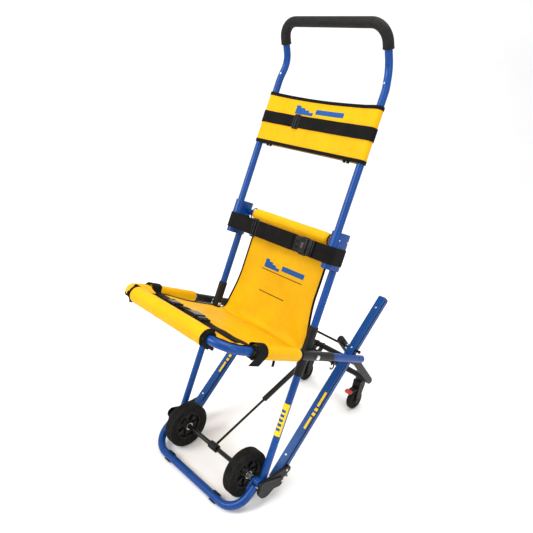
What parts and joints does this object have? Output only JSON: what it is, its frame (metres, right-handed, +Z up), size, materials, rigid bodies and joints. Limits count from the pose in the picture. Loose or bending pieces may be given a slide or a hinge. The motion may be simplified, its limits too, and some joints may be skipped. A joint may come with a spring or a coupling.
{
  "type": "stair chair",
  "caption": "Folding evacuation chair: leaning tube frame, cloth seat and back, sliding push handle, stair tracks, front wheels and rear castors.",
  "frame": {"origin": "centre of the footprint's bounding box, on the floor the chair stands on", "axes": "+Z up; the sitter faces -Y; +X is the sitter's left, which is the right hand of someone who looks at the chair's front"},
  "size_m": [0.5288, 0.7696, 1.3516],
  "materials": {
    "blue_powder_coat": "semi-gloss powder coat",
    "yellow_cloth": "coated woven cloth",
    "black_webbing": "woven webbing",
    "black_plastic": "moulded, fine texture",
    "black_paint": "satin",
    "foam_grip": "soft closed-cell foam",
    "rubber": "matte",
    "wheel_rubber": "matte",
    "steel": "zinc plated",
    "red_plastic": "moulded"
  },
  "bodies": {
    "frame": {"main_tube_left": "blue_powder_coat", "main_tube_right": "blue_powder_coat", "tube_sleeve_left": "black_plastic", "tube_sleeve_right": "black_plastic", "upper_guide_left": "blue_powder_coat", "upper_guide_right": "blue_powder_coat", "back_bar": "blue_powder_coat", "back_roll": "yellow_cloth", "back_sling": "yellow_cloth", "axle": "black_paint", "floor_loop": "blue_powder_coat", "loop_pad_left": "rubber", "loop_pad_right": "rubber", "pivot_bolt_left": "steel", "pivot_bolt_right": "steel", "chest_strap": "black_webbing", "chest_buckle": "black_plastic"},
    "handle": {"handle_tube": "blue_powder_coat", "handle_grip": "foam_grip", "lower_guide_left": "blue_powder_coat", "lower_guide_right": "blue_powder_coat", "headrest": "yellow_cloth", "head_strap": "black_webbing"},
    "wheel_left": {"wheel_tyre_left": "wheel_rubber", "wheel_rim_left": "black_plastic"},
    "wheel_right": {"wheel_tyre_right": "wheel_rubber", "wheel_rim_right": "black_plastic"},
    "seat": {"seat_tube": "blue_powder_coat", "arm_sleeve_left": "black_plastic", "arm_sleeve_right": "black_plastic", "front_roll": "yellow_cloth", "side_roll_left": "yellow_cloth", "side_roll_right": "yellow_cloth", "seat_sling": "yellow_cloth", "lap_strap": "black_webbing"},
    "rails": {"rail_cover_left": "blue_powder_coat", "rail_cover_right": "blue_powder_coat", "rail_channel_left": "blue_powder_coat", "rail_channel_right": "blue_powder_coat", "track_belt_left": "rubber", "track_belt_right": "rubber", "foot_bracket_left": "black_plastic", "foot_bracket_right": "black_plastic", "rear_shaft": "black_paint"},
    "upper_pulley_left": {"upper_pulley_left": "black_plastic"},
    "upper_pulley_right": {"upper_pulley_right": "black_plastic"},
    "lower_pulley_left": {"lower_pulley_left": "black_plastic"},
    "lower_pulley_right": {"lower_pulley_right": "black_plastic"},
    "rear_frame": {"rear_arm_left": "black_paint", "rear_arm_right": "black_paint", "rear_cross_bar": "black_paint", "castor_bar": "black_paint"},
    "castor_left": {"castor_fork_left": "black_plastic"},
    "castor_right": {"castor_fork_right": "black_plastic"},
    "castor_wheel_left": {"castor_wheel_left": "wheel_rubber"},
    "castor_wheel_right": {"castor_wheel_right": "wheel_rubber"},
    "brake_left": {"castor_brake_left": "red_plastic"},
    "brake_right": {"castor_brake_right": "red_plastic"},
    "strut_rod": {"strut_rod": "black_paint"},
    "strut_tube": {"strut_tube": "black_paint"}
  },
  "joints": [
    {"name": "handle_slide", "type": "slide", "parent": "frame", "child": "handle", "axis": [0, -0.4226, -0.9063], "range_m": [0, 0.17]},
    {"name": "wheel_spin_left", "type": "hinge", "parent": "frame", "child": "wheel_left", "pos_m": [-0.149, -0.22317, 0.0755], "axis": [1, 0, 0], "continuous": true},
    {"name": "wheel_spin_right", "type": "hinge", "parent": "frame", "child": "wheel_right", "pos_m": [0.149, -0.22317, 0.0755], "axis": [1, 0, 0], "continuous": true},
    {"name": "seat_fold", "type": "hinge", "parent": "frame", "child": "seat", "pos_m": [0, -0.03079, 0.44546], "axis": [-1, 0, 0], "range_deg": [0, 72]},
    {"name": "rail_fold", "type": "hinge", "parent": "frame", "child": "rails", "pos_m": [0, -0.22317, 0.0755], "axis": [1, 0, 0], "range_deg": [0, 18]},
    {"name": "rear_fold", "type": "hinge", "parent": "rails", "child": "rear_frame", "pos_m": [0, 0.19809, 0.35338], "axis": [-1, 0, 0], "range_deg": [0, 70]},
    {"name": "lower_pulley_spin_left", "type": "hinge", "parent": "rails", "child": "lower_pulley_left", "pos_m": [-0.208, -0.14802, 0.05038], "axis": [1, 0, 0], "continuous": true},
    {"name": "upper_pulley_spin_left", "type": "hinge", "parent": "rails", "child": "upper_pulley_left", "pos_m": [-0.208, 0.34105, 0.47853], "axis": [1, 0, 0], "continuous": true},
    {"name": "castor_swivel_left", "type": "hinge", "parent": "rear_frame", "child": "castor_left", "pos_m": [-0.122, 0.36884, 0.1115], "axis": [0, 0, 1], "continuous": true},
    {"name": "castor_spin_left", "type": "hinge", "parent": "castor_left", "child": "castor_wheel_left", "pos_m": [-0.122, 0.34284, 0.0375], "axis": [1, 0, 0], "continuous": true},
    {"name": "brake_press_left", "type": "hinge", "parent": "castor_left", "child": "brake_left", "pos_m": [-0.122, 0.35984, 0.083], "axis": [1, 0, 0], "range_deg": [0, 10]},
    {"name": "lower_pulley_spin_right", "type": "hinge", "parent": "rails", "child": "lower_pulley_right", "pos_m": [0.208, -0.14802, 0.05038], "axis": [1, 0, 0], "continuous": true},
    {"name": "upper_pulley_spin_right", "type": "hinge", "parent": "rails", "child": "upper_pulley_right", "pos_m": [0.208, 0.34105, 0.47853], "axis": [1, 0, 0], "continuous": true},
    {"name": "castor_swivel_right", "type": "hinge", "parent": "rear_frame", "child": "castor_right", "pos_m": [0.122, 0.36884, 0.1115], "axis": [0, 0, 1], "continuous": true},
    {"name": "castor_spin_right", "type": "hinge", "parent": "castor_right", "child": "castor_wheel_right", "pos_m": [0.122, 0.34284, 0.0375], "axis": [1, 0, 0], "continuous": true},
    {"name": "brake_press_right", "type": "hinge", "parent": "castor_right", "child": "brake_right", "pos_m": [0.122, 0.35984, 0.083], "axis": [1, 0, 0], "range_deg": [0, 10]},
    {"name": "strut_swing", "type": "hinge", "parent": "rails", "child": "strut_rod", "pos_m": [0, -0.22317, 0.0755], "axis": [1, 0, 0], "range_deg": [0, 12.3]},
    {"name": "strut_slide", "type": "slide", "parent": "strut_rod", "child": "strut_tube", "axis": [0, -0.9543, -0.299], "range_m": [0, 0.132]}
  ],
  "couplings": [
    {"joint": "upper_pulley_spin_left", "follows": "lower_pulley_spin_left", "ratio": 1},
    {"joint": "upper_pulley_spin_right", "follows": "lower_pulley_spin_right", "ratio": 1},
    {"joint": "strut_swing", "follows": "rear_fold", "ratio": 0.17519},
    {"joint": "strut_slide", "follows": "rear_fold", "m_per_rad": 0.10799}
  ]
}
